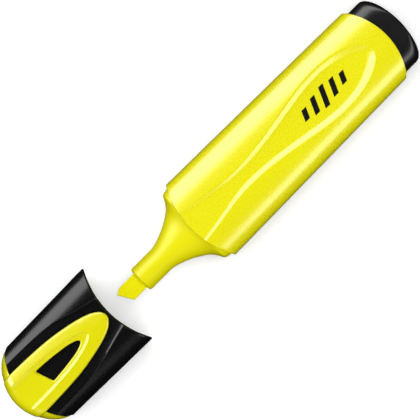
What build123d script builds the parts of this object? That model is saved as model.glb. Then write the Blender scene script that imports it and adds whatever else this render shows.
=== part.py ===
"""A flat-bodied highlighter that lies on its wide face with its cap drawn off the nose.

Units are millimetres. Every piece is drawn with the pen's axis on X: X = 0 is the plane through
the barrel's front corners, +X runs to the rear plug, Y is across the wide face and Z = 0 is the
middle of the depth. The cap is drawn as if it were on the pen. place() then sets the frame: the
origin goes to the middle of the base of the whole object's box, and the cap is drawn off along -X.
"""

import os
from math import copysign, sqrt

from build123d import *

# ---- Barrel ------------------------------------------------------------------------------
DEPTH = 16.5  # over the two flat wide faces, the same for barrel and cap
CORNER = 6.2  # radius between a wide face and a flank
FACE_TRIM = 0.05  # planed off each wide face, so that it is a true plane
BARREL_LENGTH = 67.6  # front corners to rear corners
BARREL_WIDTH_FRONT = 27.0
BARREL_WIDTH_REAR = 25.1
RIM_BULGE = 3.45  # how far the middle of the front rim stands ahead of its corners
REAR_CORNER_CUT = 1.2  # small bevel at the barrel's rear corners
REAR_BULGE = 3.2  # how far the middle of the rear rim stands behind its corners
FLANK_WALL = 1.0
FACE_WALL = 1.4
PANEL_DEPTH = 0.5  # sunk hourglass panel in each wide face
RIB_THICKNESS = 1.0  # ribs that hold the reservoir
RIB_STATIONS = (16.0, 32.0, 48.0)
RIB_SLIP = 0.05

# Half-width of the sunk panel at stations along the pen, from the open front to the rear tip.
PANEL_OUTLINE = [(-6.0, 5.0), (5.5, 3.2), (19.2, 1.6), (35.7, 3.5), (49.5, 5.3), (60.4, 3.2)]
PANEL_TIP = 64.0
PANEL_FRONT_TANGENT = (1, -0.2)

# ---- Rear plug ---------------------------------------------------------------------------
PLUG_WIDTH = 22.7
PLUG_DEPTH = 13.4
PLUG_CORNER = 5.0
PLUG_END = 77.3  # middle of its domed end
PLUG_END_RADIUS = 23.0
PLUG_EDGE_RADIUS = 2.6
PLUG_INSERTION = 9.0
PLUG_WALL = 1.1
PLUG_FLOOR = 4.5
PLUG_BEAD = 0.10
PLUG_BEAD_LENGTH = 1.0

# ---- Nose section ------------------------------------------------------------------------
COLLAR_WIDTH = 24.4
COLLAR_DEPTH = 13.6
COLLAR_CORNER = 5.1
COLLAR_FRONT = -2.9
COLLAR_REAR = 7.0
COLLAR_SLIP = 0.02
BEAD_WIDTH = 24.9
BEAD_HALF_HEIGHT = 4.2  # the bead is on the flanks only
BEAD_FRONT = -2.1
BEAD_REAR = -0.9
NOZZLE_RADIUS = 3.91
NOZZLE_REAR = -15.1
NOZZLE_FRONT = -23.35
NOZZLE_EDGE = 0.8
# Station, half-width and half-depth of the flare, from the collar to the nozzle.
FLARE = [(-2.9, 11.0, 6.5), (-4.2, 9.3, 5.95), (-6.9, 7.15, 5.05), (-10.3, 5.35, 4.4), (-15.1, 3.91, 3.91)]
POCKET = (21.0, 11.2, 5.2)  # width, depth and corner of the space behind the flare
POCKET_FRONT = -2.0

# ---- Nib and reservoir -------------------------------------------------------------------
NIB_WIDTH = 5.3
NIB_THICKNESS = 3.6
NIB_TIP = -30.8
NIB_TIP_OFFSET = 1.65  # how far the writing tip stands from the axis
NIB_SHOULDER = -28.85  # front of the straight side beside the tip
NIB_HEEL = -28.3  # rear end of the slanted edge
NIB_REAR = 9.0
NIB_CORNER = 0.7
NIB_SLIP = 0.05
RESERVOIR_WIDTH = 19.0
RESERVOIR_DEPTH = 10.6
RESERVOIR_CORNER = 4.8
RESERVOIR_FRONT = 3.5
RESERVOIR_REAR = 60.0
WRAP_THICKNESS = 0.2

# ---- Cap, in the closed position ---------------------------------------------------------
CAP_TRAVEL = 32.2  # from the drawn-off place to the barrel's shoulder
CAP_STOP_GAP = 0.1
CAP_WIDTH_MOUTH = 27.2
CAP_WIDTH_END = 26.1
CAP_SIDE_END = -30.2  # where the straight flanks end
SHELL_END_CORNER = (-31.8, 12.1)
SHELL_END = -36.2  # middle of the shell's end edge, under the crown's band
MOUTH_CAVITY = (25.2, 14.6, 5.4)  # width, depth and corner around the collar
MOUTH_CAVITY_END = -3.9
BODY_CAVITY = (22.8, 12.4, 5.0)
CLIP_TIP = -4.3
CLIP_SPLIT = -33.6  # flexing line between clip and crown
CLIP_UNDERSIDE = 7.55
CLIP_TOP = 8.95
CLIP_SLIT = 0.15
RECESS_FLOOR = 7.25
RECESS_MARGIN = 0.35
# Distance from the tip and half-width of the clip.
CLIP_OUTLINE = [(1.9, 2.75), (7.4, 4.75), (15.7, 6.3), (29.4, 7.05)]
WINDOW_TIP = -14.5
# Distance from the window's tip and half-width, and its two slanted base corners.
WINDOW_OUTLINE = [(1.4, 0.85), (5.5, 1.85)]
WINDOW_BASE = ((-29.1, 2.75), (-27.4, -2.3))
WINDOW_TANGENTS = [(1, -0.05), (-1, -0.05)]
CROWN_END = -39.2
CROWN_RADIUS = 13.7  # plan radius of the crown's end
BAND_PROUD = 0.4
BAND_BOTTOM = -7.9
CROWN_EDGE_RADIUS = 4.0
CROWN_TANGENT_GAP = 0.1  # keeps the crown's plan arc and side outline from touching tangentially
CROWN_SPIGOT_END = -30.0
SPIGOT_SLIP = 0.03

# ---- Inner sealing cap -------------------------------------------------------------------
SEAL_SLIP = 0.04  # radial clearance on the nozzle
INNER_CAP_WALL = 1.05
INNER_CAP_MOUTH = -16.5
INNER_CAP_END = -34.5
INNER_CAP_FLANGE = 0.9
INNER_CAP_FLANGE_THICKNESS = 0.6

# ---- The row's frame ---------------------------------------------------------------------
BOX_FRONT = CROWN_END - CAP_TRAVEL
FRAME_SHIFT = -(BOX_FRONT + PLUG_END) / 2
FAR = 100.0  # beyond the ends of the pen
PAST = 1.0  # how far a cut or a rough block runs past the surface that ends it
JOIN = 0.5  # how far two solids of one piece run into each other
PRISM_HALF_WIDTH = 16.0  # wider than the pen, narrower than any arc it is used with
PRISM_HALF_HEIGHT = 30.0


def place(shape, drawn_off=0.0):
    """Set a piece on its place in the row's frame."""
    return Pos(FRAME_SHIFT - drawn_off, 0, DEPTH / 2) * shape


def oval(x, width, depth, corner):
    """Rounded rectangle across the pen at station x."""
    return Plane.YZ.offset(x) * RectangleRounded(width, depth, corner)


def oval_bar(x_from, x_to, width, depth, corner):
    """Straight bar of constant oval section."""
    return extrude(oval(x_from, width, depth, corner), amount=x_to - x_from)


def rod(x_from, x_to, radius):
    """Round bar on the pen's axis."""
    return extrude(Plane.YZ.offset(x_from) * Circle(radius), amount=x_to - x_from)


def slab(x_from, x_to, z_from=-FAR, z_to=FAR):
    """Block between two stations and two heights, wider than the pen."""
    block = Box(x_to - x_from, 2 * FAR, z_to - z_from)
    return Pos((x_from + x_to) / 2, 0, (z_from + z_to) / 2) * block


def arc_ended_prism(tip, radius, back, half_width=PRISM_HALF_WIDTH):
    """Tall prism with an arc in plan, its tip on the axis, running straight on to station back."""
    rise = radius - sqrt(radius**2 - half_width**2)
    corner = tip + copysign(rise, back - tip)
    arc = ThreePointArc((corner, -half_width), (tip, 0), (corner, half_width))
    sides = Polyline(
        (corner, half_width), (back, half_width), (back, -half_width), (corner, -half_width)
    )
    return extrude(make_face([arc, sides]), amount=PRISM_HALF_HEIGHT, both=True)


def arc_radius(half_chord, bulge):
    """Radius of an arc from its half chord and its bulge."""
    return (half_chord**2 + bulge**2) / (2 * bulge)


def barrel_width(x):
    """Outer width of the barrel at station x."""
    return BARREL_WIDTH_FRONT + (BARREL_WIDTH_REAR - BARREL_WIDTH_FRONT) * x / BARREL_LENGTH


def cap_width(x):
    """Outer width of the cap at station x."""
    return CAP_WIDTH_MOUTH + (CAP_WIDTH_END - CAP_WIDTH_MOUTH) * x / CAP_SIDE_END


def tapering(width_at, x_from, x_to, inset_flank=0.0, inset_face=0.0):
    """Tapering oval bar whose section follows the outside, less an inset on each side."""
    corner = CORNER - inset_flank
    depth = DEPTH - 2 * inset_face
    return loft([oval(x, width_at(x) - 2 * inset_flank, depth, corner) for x in (x_from, x_to)])


def outside(width_at, x_from, x_to):
    """Solid tapering bar with the pen's outer section and two flat wide faces."""
    bar = tapering(width_at, x_from, x_to, inset_face=-FACE_TRIM)
    return bar & slab(-FAR, FAR, -DEPTH / 2, DEPTH / 2)


def tongue_prism(points, tip, base_tangent):
    """Tall prism on a tongue-shaped plan: smooth up one side, round the tip and down the other."""
    far_side = [(x, -y) for x, y in reversed(points)]
    slope_x, slope_y = base_tangent
    outline = Spline(*points, (tip, 0), *far_side, tangents=[base_tangent, (-slope_x, slope_y)])
    base = Line(outline @ 1, outline @ 0)
    return extrude(make_face([outline, base]), amount=PRISM_HALF_HEIGHT, both=True)


def clip_prism(margin=0.0):
    """Arch outline of the clip and of the band that carries it over the crown."""
    points = [(CLIP_TIP - run, half + margin) for run, half in reversed(CLIP_OUTLINE)]
    band_end = (CROWN_END - PAST, CLIP_OUTLINE[-1][1] + margin)
    return tongue_prism([band_end, *points], CLIP_TIP + margin, (1, 0))


def barrel():
    """Oval tube, tapering to the rear, with curved rims and a sunk panel in each wide face."""
    rear_half = BARREL_WIDTH_REAR / 2 - REAR_CORNER_CUT
    rear_tip = BARREL_LENGTH + REAR_CORNER_CUT + REAR_BULGE
    front_end = -RIM_BULGE - PAST
    rear_end = rear_tip + PAST
    body = outside(barrel_width, front_end, rear_end)
    body &= arc_ended_prism(-RIM_BULGE, arc_radius(BARREL_WIDTH_FRONT / 2, RIM_BULGE), rear_end)
    body &= arc_ended_prism(rear_tip, arc_radius(rear_half, REAR_BULGE), front_end)
    panel = tongue_prism(PANEL_OUTLINE, PANEL_TIP, PANEL_FRONT_TANGENT)
    panel_floor = DEPTH / 2 - PANEL_DEPTH
    body -= panel - slab(-FAR, PANEL_TIP + PAST, -panel_floor, panel_floor)
    cavity = tapering(barrel_width, front_end - PAST, rear_end + PAST, FLANK_WALL, FACE_WALL)
    return body - cavity + reservoir_ribs(cavity)


def reservoir_ribs(cavity):
    """Cross ribs inside the barrel that hold the wrapped reservoir clear of the walls."""
    hole_width = RESERVOIR_WIDTH + 2 * WRAP_THICKNESS + 2 * RIB_SLIP
    hole_depth = RESERVOIR_DEPTH + 2 * WRAP_THICKNESS + 2 * RIB_SLIP
    ribs = Part()
    for x in RIB_STATIONS:
        rib = cavity & slab(x, x + RIB_THICKNESS)
        rib_end = x + RIB_THICKNESS
        rib -= oval_bar(x - PAST, rib_end + PAST, hole_width, hole_depth, RESERVOIR_CORNER)
        ribs += rib
    return ribs


def rear_plug():
    """Hollow plug with a domed end, pushed into the barrel's rear and sealed there by a bead."""
    skirt_front = BARREL_LENGTH - PLUG_INSERTION
    outer = oval_bar(skirt_front, PLUG_END, PLUG_WIDTH, PLUG_DEPTH, PLUG_CORNER)
    outer &= arc_ended_prism(PLUG_END, PLUG_END_RADIUS, skirt_front - PAST)
    outer &= extrude(plug_side(skirt_front), amount=PRISM_HALF_HEIGHT, both=True)
    hollow = oval_bar(
        skirt_front - PAST,
        PLUG_END - PLUG_FLOOR,
        PLUG_WIDTH - 2 * PLUG_WALL,
        PLUG_DEPTH - 2 * PLUG_WALL,
        PLUG_CORNER - PLUG_WALL,
    )
    bead_front = BARREL_LENGTH - PLUG_INSERTION / 2
    bead = oval_bar(
        bead_front,
        bead_front + PLUG_BEAD_LENGTH,
        PLUG_WIDTH + 2 * PLUG_BEAD,
        PLUG_DEPTH + 2 * PLUG_BEAD,
        PLUG_CORNER + PLUG_BEAD,
    )
    return outer + bead - hollow


def plug_side(skirt_front):
    """Side outline of the plug, with round edges at its domed end."""
    length = PLUG_END - skirt_front
    face = Plane.XZ * Pos(skirt_front + length / 2, 0) * Rectangle(length, PLUG_DEPTH + 2 * PAST)
    edge = face.vertices().group_by(Axis.X)[-1]
    return fillet(edge, PLUG_EDGE_RADIUS)


def flare_section(x, half_width, half_depth):
    """Closed smooth oval of the flare at station x."""
    return Plane.YZ.offset(x) * Ellipse(half_width, half_depth)


def nose_section():
    """Oval collar with a snap bead, flare and round nozzle, bored for the nib."""
    collar = oval_bar(COLLAR_FRONT, 0, COLLAR_WIDTH, COLLAR_DEPTH, COLLAR_CORNER)
    collar += tapering(barrel_width, 0, COLLAR_REAR, FLANK_WALL + COLLAR_SLIP, FACE_WALL + COLLAR_SLIP)
    bead = oval_bar(BEAD_FRONT, BEAD_REAR, BEAD_WIDTH, COLLAR_DEPTH, COLLAR_CORNER)
    bead &= slab(-FAR, FAR, -BEAD_HALF_HEIGHT, BEAD_HALF_HEIGHT)
    flare = loft([flare_section(*station) for station in FLARE])
    nozzle = rod(NOZZLE_FRONT, NOZZLE_REAR, NOZZLE_RADIUS)
    tip_edge = nozzle.edges().filter_by(GeomType.CIRCLE).sort_by(Axis.X)[0]
    nozzle = fillet(tip_edge, NOZZLE_EDGE)
    body = collar + bead + flare + nozzle
    pocket = oval_bar(POCKET_FRONT, COLLAR_REAR + PAST, *POCKET)
    bore = oval_bar(
        NOZZLE_FRONT - PAST,
        COLLAR_REAR,
        NIB_WIDTH + 2 * NIB_SLIP,
        NIB_THICKNESS + 2 * NIB_SLIP,
        NIB_CORNER + NIB_SLIP,
    )
    return body - pocket - bore


def nib():
    """Felt bar with a slanted chisel edge and one bevelled corner."""
    bar = oval_bar(NIB_TIP, NIB_REAR, NIB_WIDTH, NIB_THICKNESS, NIB_CORNER)
    half = NIB_WIDTH / 2
    outline = Polyline(
        (NIB_REAR + PAST, half + PAST),
        (NIB_SHOULDER, half + PAST),
        (NIB_SHOULDER, half),
        (NIB_TIP, NIB_TIP_OFFSET),
        (NIB_HEEL, -half),
        (NIB_HEEL, -half - PAST),
        (NIB_REAR + PAST, -half - PAST),
        close=True,
    )
    return bar & extrude(make_face(outline), amount=PRISM_HALF_HEIGHT, both=True)


def ink_reservoir():
    """Fibre core with a socket that the nib's rear end pierces."""
    core = oval_bar(
        RESERVOIR_FRONT, RESERVOIR_REAR, RESERVOIR_WIDTH, RESERVOIR_DEPTH, RESERVOIR_CORNER
    )
    socket_front = RESERVOIR_FRONT - PAST
    return core - oval_bar(socket_front, NIB_REAR, NIB_WIDTH, NIB_THICKNESS, NIB_CORNER)


def reservoir_wrap():
    """Film sleeve round the fibre core, open at both ends."""
    size = (RESERVOIR_WIDTH, RESERVOIR_DEPTH, RESERVOIR_CORNER)
    grown = [value + 2 * WRAP_THICKNESS for value in size[:2]] + [size[2] + WRAP_THICKNESS]
    sleeve = oval_bar(RESERVOIR_FRONT, RESERVOIR_REAR, *grown)
    return sleeve - oval_bar(RESERVOIR_FRONT - PAST, RESERVOIR_REAR + PAST, *size)


def shell_end_prism():
    """Tall prism on the mouth side of the arc where the shell meets the crown."""
    corner_x, corner_y = SHELL_END_CORNER
    return arc_ended_prism(SHELL_END, arc_radius(corner_y, corner_x - SHELL_END), FAR)


def cap_shell():
    """Oval shell with a curved mouth, open at both ends, recessed on top for the clip."""
    shell = outside(cap_width, CROWN_END, PAST)
    mouth_radius = arc_radius(BARREL_WIDTH_FRONT / 2, RIM_BULGE)
    shell -= arc_ended_prism(-RIM_BULGE - CAP_STOP_GAP, mouth_radius, FAR)
    shell &= shell_end_prism()
    shell &= corner_bevel()
    shell -= oval_bar(MOUTH_CAVITY_END, PAST, *MOUTH_CAVITY)
    shell -= oval_bar(CROWN_END, MOUTH_CAVITY_END + JOIN, *BODY_CAVITY)
    return shell - (clip_prism(RECESS_MARGIN) & slab(-FAR, FAR, RECESS_FLOOR, FAR))


def corner_bevel():
    """Plan prism that bevels the two corners between the shell's flanks and its end edge."""
    corner_x, corner_y = SHELL_END_CORNER
    side_y = cap_width(CAP_SIDE_END) / 2
    upper = [(FAR, side_y + PAST), (CAP_SIDE_END, side_y + PAST), (CAP_SIDE_END, side_y)]
    upper += [(corner_x, corner_y), (-FAR, corner_y)]
    lower = [(x, -y) for x, y in reversed(upper)]
    plan = make_face(Polyline(*upper, *lower, close=True))
    return extrude(plan, amount=PRISM_HALF_HEIGHT, both=True)


def crown_side(top, bottom, end):
    """Tall prism across the pen on the crown's side outline, rounded at its end."""
    radius = CROWN_EDGE_RADIUS
    turn = radius * (1 - sqrt(0.5))
    outline = [
        Polyline((0, bottom), (0, top), (end + radius, top)),
        ThreePointArc((end + radius, top), (end + turn, top - turn), (end, top - radius)),
        Line((end, top - radius), (end, bottom + radius)),
        ThreePointArc(
            (end, bottom + radius), (end + turn, bottom + turn), (end + radius, bottom)
        ),
        Line((end + radius, bottom), (0, bottom)),
    ]
    return extrude(Plane.XZ * make_face(outline), amount=PRISM_HALF_HEIGHT, both=True)


def crown_dome(end, top, bottom):
    """Solid with the crown's plan arc and its rounded side outline."""
    plan = arc_ended_prism(end, CROWN_RADIUS, 0, half_width=CROWN_RADIUS - CROWN_TANGENT_GAP)
    return plan & crown_side(top, bottom, end - CROWN_TANGENT_GAP)


def cap_crown():
    """Rounded end of the cap: dome, raised band over it and a spigot inside the shell."""
    half = DEPTH / 2
    dome = outside(cap_width, CROWN_END - PAST, CAP_SIDE_END + PAST)
    dome &= crown_dome(CROWN_END + BAND_PROUD, half, -half)
    dome -= shell_end_prism()
    band = clip_prism() & slab(-FAR, CLIP_SPLIT) & crown_dome(CROWN_END, CLIP_TOP, BAND_BOTTOM)
    band -= shell_end_prism() & slab(-FAR, FAR, -FAR, CLIP_UNDERSIDE)
    width, depth, corner = BODY_CAVITY
    spigot = oval_bar(
        SHELL_END - JOIN,
        CROWN_SPIGOT_END,
        width - 2 * SPIGOT_SLIP,
        depth - 2 * SPIGOT_SLIP,
        corner - SPIGOT_SLIP,
    )
    bore = rod(INNER_CAP_END, CROWN_SPIGOT_END + PAST, NOZZLE_RADIUS + SEAL_SLIP + INNER_CAP_WALL)
    return dome + band + spigot - bore


def pocket_clip():
    """Arch-shaped spring clip over the recess, with a window through it."""
    clip = clip_prism() & slab(CLIP_SPLIT + CLIP_SLIT, FAR, CLIP_UNDERSIDE, CLIP_TOP)
    return clip - window_prism()


def window_prism():
    """Arrowhead window with a slanted base."""
    upper_base, lower_base = WINDOW_BASE
    near = [(WINDOW_TIP - run, half) for run, half in WINDOW_OUTLINE]
    far = [(x, -y) for x, y in near]
    points = [upper_base, *reversed(near), (WINDOW_TIP, 0), *far, lower_base]
    sides = Spline(*points, tangents=WINDOW_TANGENTS)
    plan = make_face([sides, Line(lower_base, upper_base)])
    return extrude(plan, amount=PRISM_HALF_HEIGHT, both=True)


def inner_cap():
    """Round sealing sleeve, closed at its end, with a flange against the crown's spigot."""
    inner = NOZZLE_RADIUS + SEAL_SLIP
    outer = inner + INNER_CAP_WALL
    sleeve = rod(INNER_CAP_END, INNER_CAP_MOUTH, outer)
    flange_front = CROWN_SPIGOT_END + INNER_CAP_FLANGE_THICKNESS
    sleeve += rod(CROWN_SPIGOT_END, flange_front, outer + INNER_CAP_FLANGE)
    return sleeve - rod(INNER_CAP_END + INNER_CAP_WALL, INNER_CAP_MOUTH + PAST, inner)


ON_PEN = (barrel, nose_section, nib, ink_reservoir, reservoir_wrap, rear_plug)
ON_CAP = (cap_shell, cap_crown, inner_cap, pocket_clip)

os.makedirs("parts", exist_ok=True)
for make in ON_PEN:
    export_step(place(make()), f"parts/{make.__name__}.step")
for make in ON_CAP:
    export_step(place(make(), drawn_off=CAP_TRAVEL), f"parts/{make.__name__}.step")
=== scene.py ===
"""A flat-bodied highlighter lying on a pale floor with its cap drawn off, seen from straight above."""

import math

import bmesh
import bpy
import numpy as np
from mathutils import Matrix, Vector


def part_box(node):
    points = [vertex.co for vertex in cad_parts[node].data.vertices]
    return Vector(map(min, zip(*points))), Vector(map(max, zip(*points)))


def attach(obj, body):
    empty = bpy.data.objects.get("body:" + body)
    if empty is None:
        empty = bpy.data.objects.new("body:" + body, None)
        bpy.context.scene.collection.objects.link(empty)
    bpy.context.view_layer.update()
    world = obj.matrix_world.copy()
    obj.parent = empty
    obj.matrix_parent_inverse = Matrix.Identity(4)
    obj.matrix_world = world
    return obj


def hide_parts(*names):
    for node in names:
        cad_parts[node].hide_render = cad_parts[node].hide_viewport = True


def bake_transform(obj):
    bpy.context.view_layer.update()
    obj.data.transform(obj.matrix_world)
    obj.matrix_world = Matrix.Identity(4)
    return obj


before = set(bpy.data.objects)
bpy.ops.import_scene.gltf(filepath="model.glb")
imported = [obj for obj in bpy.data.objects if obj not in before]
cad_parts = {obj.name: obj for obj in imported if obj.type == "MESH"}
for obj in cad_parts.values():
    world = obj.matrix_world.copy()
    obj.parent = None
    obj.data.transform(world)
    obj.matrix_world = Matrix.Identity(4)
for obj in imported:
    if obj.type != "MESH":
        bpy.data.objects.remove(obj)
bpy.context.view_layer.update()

MM = 0.001

# ---- Places, read from the frame ----------------------------------------------------------
# Outlines are drawn in millimetres along the pen: 0 is the barrel's front corners, the rear is +X,
# and height 0 is the middle of the depth. The cap is drawn as if it were on the pen, and is set down where
# the frame has it.
RIM_BULGE = 3.45
CROWN_END = -39.2
BARREL_LOW, BARREL_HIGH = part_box("barrel")
CROWN_LOW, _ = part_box("cap_crown")
SHOULDER_X = BARREL_LOW.x / MM + RIM_BULGE
CAP_X = CROWN_LOW.x / MM - CROWN_END
MIDDLE_Z = (BARREL_LOW.z + BARREL_HIGH.z) / 2 / MM

# ---- Sizes of the pen ---------------------------------------------------------------------
HALF_DEPTH = 8.25
BARREL_LENGTH = 67.6
BARREL_HALF_FRONT = 13.5
BARREL_HALF_REAR = 12.55
RIM_RADIUS = (BARREL_HALF_FRONT**2 + RIM_BULGE**2) / (2 * RIM_BULGE)
REAR_TIP = 72.0
REAR_RADIUS = 21.7
REAR_CORNER = (68.8, 11.35)
# Corner of a section: its reach across and down, and the power of its curve.
BARREL_CORNER = (11.0, 6.5, 2.4)
CAP_CORNER = (7.5, 5.2, 2.2)
CAVITY_CORNER = (5.2, 5.0, 2.4)
LIP = 0.22
FLANK_WALL = 1.0
FACE_WALL = 1.4

# Half-widths of the sunk hourglass panel: its outer edge and the edge of its floor.
PANEL_OUTER = [
    (-4.0, 5.4), (5.5, 3.98), (12.0, 3.05), (19.2, 2.9), (27.5, 3.7), (38.5, 5.65), (50.5, 7.1),
    (58.0, 6.2), (63.2, 4.1), (66.5, 0.0), (70.0, -5.0),
]
PANEL_FLOOR = [
    (-4.0, 4.65), (5.5, 3.15), (12.0, 1.95), (19.2, 1.58), (27.5, 2.3), (38.5, 4.0), (50.0, 5.25),
    (57.7, 4.2), (62.0, 2.3), (64.0, 0.0), (67.0, -3.3),
]
PANEL_DEPTH = [(-4.0, 0.36), (8.0, 0.42), (19.2, 0.6), (38.0, 0.97), (50.0, 1.3), (58.0, 1.24), (66.5, 1.0)]


def cubic(knots, at):
    """Natural cubic curve through the knots, straight beyond both ends."""
    kx, ky = (np.array(column, float) for column in zip(*knots))
    at = np.asarray(at, float)
    gap = np.diff(kx)
    count = len(kx)
    system, right = np.eye(count), np.zeros(count)
    for i in range(1, count - 1):
        system[i, i - 1 : i + 2] = gap[i - 1], 2 * (gap[i - 1] + gap[i]), gap[i]
        right[i] = 6 * ((ky[i + 1] - ky[i]) / gap[i] - (ky[i] - ky[i - 1]) / gap[i - 1])
    bend = np.linalg.solve(system, right)
    i = np.clip(np.searchsorted(kx, at) - 1, 0, count - 2)
    b = (np.clip(at, kx[0], kx[-1]) - kx[i]) / gap[i]
    a = 1 - b
    value = a * ky[i] + b * ky[i + 1]
    value += ((a**3 - a) * bend[i] + (b**3 - b) * bend[i + 1]) * gap[i] ** 2 / 6
    first = (ky[1] - ky[0]) / gap[0] - gap[0] * bend[1] / 6
    last = (ky[-1] - ky[-2]) / gap[-1] + gap[-1] * bend[-2] / 6
    return value + np.minimum(at - kx[0], 0) * first + np.maximum(at - kx[-1], 0) * last


def signed_square(knots):
    """The knots with each half-width squared and its sign kept, so that an outline can close to a tip."""
    return [(x, half * abs(half)) for x, half in knots]


def outline_half(knots, x):
    """Half-width of an outline at x, zero beyond its tip."""
    return np.sqrt(np.maximum(cubic(signed_square(knots), x), 0))


def ramp(t, soft=0.12):
    """0 below 0, 1 above 1 and straight between, with softened corners."""
    def turn(v):
        return np.where(v < -soft, 0, np.where(v > soft, v, (v + soft) ** 2 / (4 * soft)))

    return turn(t) - turn(t - 1)


def between_outlines(outer, floor, x, y):
    """0 outside the outer outline, 1 inside the floor's, and a slope between them."""
    far = cubic(signed_square(outer), x)
    near = cubic(signed_square(floor), x)
    return ramp((far - y**2) / np.maximum(far - near, 0.05))


def even(half):
    """A half-width that is the same all along a piece."""
    def at(x):
        return np.full_like(x, half)

    return at


def no_relief(x, y, side):
    """A face without a panel."""
    return 0.0


def arc_offset(radius, y):
    """How far an arc of that radius falls back at y from its tip."""
    return radius - np.sqrt(np.maximum(radius**2 - np.asarray(y, float) ** 2, 0))


# ---- Mesh helpers -------------------------------------------------------------------------
def finish_mesh(name, verts, faces, x_shift, sharp=38.0, merge=1e-4):
    """Make a smooth-shaded object from millimetre points along the pen, set on its place in the row."""
    mesh = bpy.data.meshes.new(name)
    points = (np.asarray(verts, float) + (x_shift, 0, MIDDLE_Z)) * MM
    mesh.from_pydata(points.tolist(), [], faces)
    work = bmesh.new()
    work.from_mesh(mesh)
    bmesh.ops.remove_doubles(work, verts=work.verts, dist=merge * MM)
    bmesh.ops.dissolve_degenerate(work, edges=work.edges, dist=merge * MM)
    bmesh.ops.recalc_face_normals(work, faces=work.faces)
    work.to_mesh(mesh)
    work.free()
    mesh.shade_smooth()
    mesh.set_sharp_from_angle(angle=math.radians(sharp))
    piece = bpy.data.objects.new(name, mesh)
    bpy.context.scene.collection.objects.link(piece)
    return piece


def grid_faces(rows, columns):
    """Quads of closed rings of points stored ring by ring."""
    faces = []
    for i in range(rows - 1):
        for j in range(columns):
            k = (j + 1) % columns
            base = i * columns
            faces.append((base + j, base + k, base + columns + k, base + columns + j))
    return faces


def skin(name, rings, x_shift, pole_first=False, pole_last=False, sharp=38.0):
    """Skin over closed rings of points, with a fan over either end."""
    rings = [np.asarray(ring, float) for ring in rings]
    columns = len(rings[0])
    verts = [point for ring in rings for point in ring]
    faces = grid_faces(len(rings), columns)
    for wanted, ring, base in ((pole_first, rings[0], 0), (pole_last, rings[-1], (len(rings) - 1) * columns)):
        if wanted:
            verts.append(ring.mean(0))
            pole = len(verts) - 1
            faces += [(base + j, base + (j + 1) % columns, pole) for j in range(columns)]
    return finish_mesh(name, verts, faces, x_shift, sharp)


# ---- Oval sections ------------------------------------------------------------------------
# Columns of a quarter of a section, from the middle of the wide face to the middle of the flank:
# across the panel's floor, its slope, the land beside it, the lower half of the corner, the flank.
QUARTER = (
    [("floor", k / 7) for k in range(8)]
    + [("slope", k) for k in (0.01, 0.17, 0.33, 0.5, 0.67, 0.83, 1.0)]
    + [("land", k / 22) for k in range(1, 23)]
    + [("corner", k / 12) for k in range(1, 13)]
    + [("flank", k / 2) for k in range(1, 3)]
)


def corner_drop(y, half, corner):
    """How far a section's face lies below its middle at y."""
    across, down, power = corner
    run = np.clip((y - half + across) / across, 0, 1)
    return down * (1 - (1 - run**power) ** (1 / power))


def quarter_points(x, half_width, half_depth, corner, lines, columns=QUARTER):
    """y and z of a quarter section at every x of a rows by columns array.

    Lines gives the edges of the panel's floor and of its slope; facet and step are the shell's own zones.
    """
    across, down, power = corner
    y, z = np.empty_like(x), np.empty_like(x)
    half = half_width(x)
    start = half - across
    middle = start + across * math.sin(math.pi / 4) ** (2 / power)
    inner, outer = lines(x)
    for j, (zone, part) in enumerate(columns):
        if zone == "floor":
            y[:, j] = part * inner[:, j]
        elif zone == "slope":
            y[:, j] = inner[:, j] + part * (outer[:, j] - inner[:, j])
        elif zone == "facet":
            y[:, j] = inner[:, j] + part * (outer[:, j] - cubic(CREASE_WIDTH, x[:, j]) - inner[:, j])
        elif zone == "step":
            y[:, j] = outer[:, j] - cubic(CREASE_WIDTH, x[:, j]) * (1 - part)
        elif zone == "land":
            y[:, j] = outer[:, j] + part * (middle[:, j] - outer[:, j])
        elif zone == "corner":
            turn = math.pi / 4 * (1 + part)
            y[:, j] = start[:, j] + across * math.sin(turn) ** (2 / power)
            z[:, j] = half_depth - down + down * max(math.cos(turn), 0) ** (2 / power)
        else:
            y[:, j] = half[:, j]
            z[:, j] = (half_depth - down) * (1 - part)
        if zone not in ("corner", "flank"):
            z[:, j] = half_depth - corner_drop(y[:, j], half[:, j], corner)
    return y, z


def full_ring(x, y, upper, lower):
    """A closed ring from quarter arrays: x and y shared, upper and lower heights."""
    q = len(x)
    order = [(j, 1, upper) for j in range(q)] + [(j, 1, lower) for j in range(q - 2, -1, -1)]
    order += [(j, -1, lower) for j in range(1, q)] + [(j, -1, upper) for j in range(q - 2, 0, -1)]
    return np.array([(x[j], side * y[j], z[j]) for j, side, z in order])


# A ring on a curved end needs its own y to find its x, so the two are worked out in turn.
CURVED_END_PASSES = 6


def tube_rings(stations, half_width, front, rear, relief, lines, corner, depth=HALF_DEPTH, columns=QUARTER):
    """Rings of an oval tube between two curved ends; each station is (share of length, run past, inset)."""
    share = np.array([s[0] for s in stations])[:, None] + np.zeros(len(columns))
    run = np.array([s[1] for s in stations])[:, None]
    rings = []
    x = front(0.0) + share * (rear(0.0) - front(0.0))
    run = run * math.copysign(1.0, rear(0.0) - front(0.0))
    for _ in range(CURVED_END_PASSES):
        y, z = quarter_points(x, half_width, depth, corner, lines, columns)
        x = front(y) + share * (rear(y) - front(y)) + run
    for i, (_, _, pull) in enumerate(stations):
        half = half_width(x[i])
        yi = y[i] * (half - pull) / half
        zi = z[i] * (depth - pull) / depth
        upper = zi - relief(x[i], y[i], 1)
        lower = -zi + relief(x[i], y[i], -1)
        rings.append(full_ring(x[i], yi, upper, lower))
    return rings


LIP_STEPS = 4


def lip_stations(lip):
    """Stations of a rounded lip at the front end, from the front face to the outside."""
    turns = [math.pi / 2 * k / LIP_STEPS for k in range(LIP_STEPS + 1)]
    return [(0.0, lip * (1 - math.cos(t)), lip * (1 - math.sin(t))) for t in turns]


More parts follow.
